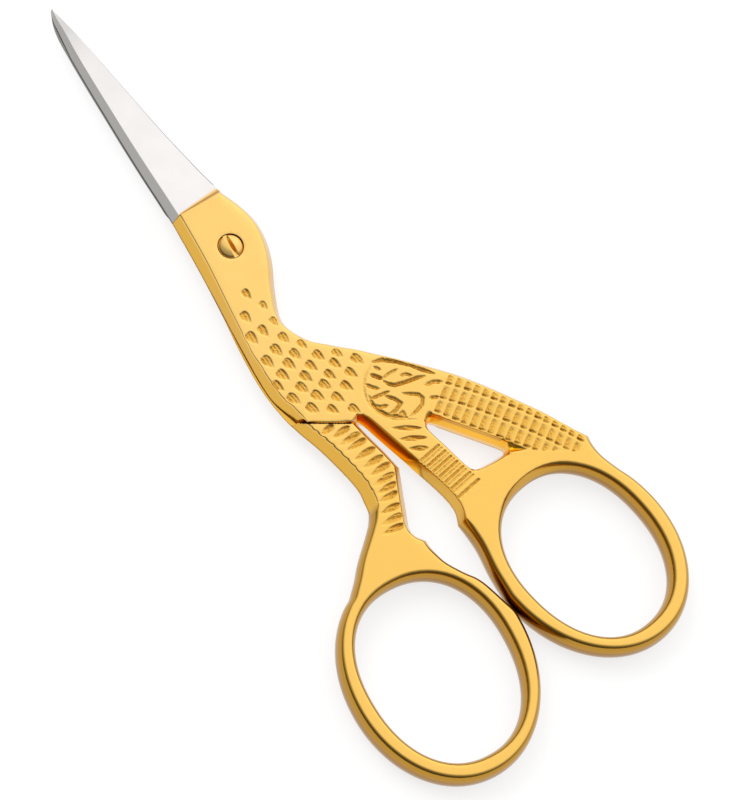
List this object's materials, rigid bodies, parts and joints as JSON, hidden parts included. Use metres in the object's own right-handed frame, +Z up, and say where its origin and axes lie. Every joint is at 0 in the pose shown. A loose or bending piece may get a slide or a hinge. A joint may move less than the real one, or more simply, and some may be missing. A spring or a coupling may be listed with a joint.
{
  "type": "stork embroidery scissors",
  "caption": "Slim embroidery scissors shaped as a standing stork: a long pointed beak cuts, legs end in oval finger bows, and a slotted screw joins the two halves.",
  "frame": {"origin": "on the pivot axis, at the face the scissors rest on, where the pivot screw's end is filed flush", "axes": "+Y runs along the closed blades to the tip, +Z points up out of the screw's head, +X completes a right-handed frame, towards the stork's tail"},
  "size_m": [0.04, 0.0928, 0.004],
  "materials": {
    "gold_plate": "polished gold plate on forged steel, carved with feathers, scales and rings, the carving a little darker",
    "blade_steel": "bright nickel-plated steel, ground and polished",
    "screw": "polished gold-plated slotted screw"
  },
  "bodies": {
    "back_half": {"back_handle": "gold_plate", "back_blade": "blade_steel", "pivot_screw": "screw"},
    "front_half": {"front_handle": "gold_plate", "front_blade": "blade_steel"}
  },
  "joints": [
    {"name": "pivot", "type": "hinge", "parent": "back_half", "child": "front_half", "pos_m": [0, 0, 0], "axis": [0, 0, 1], "range_deg": [0, 140]}
  ]
}
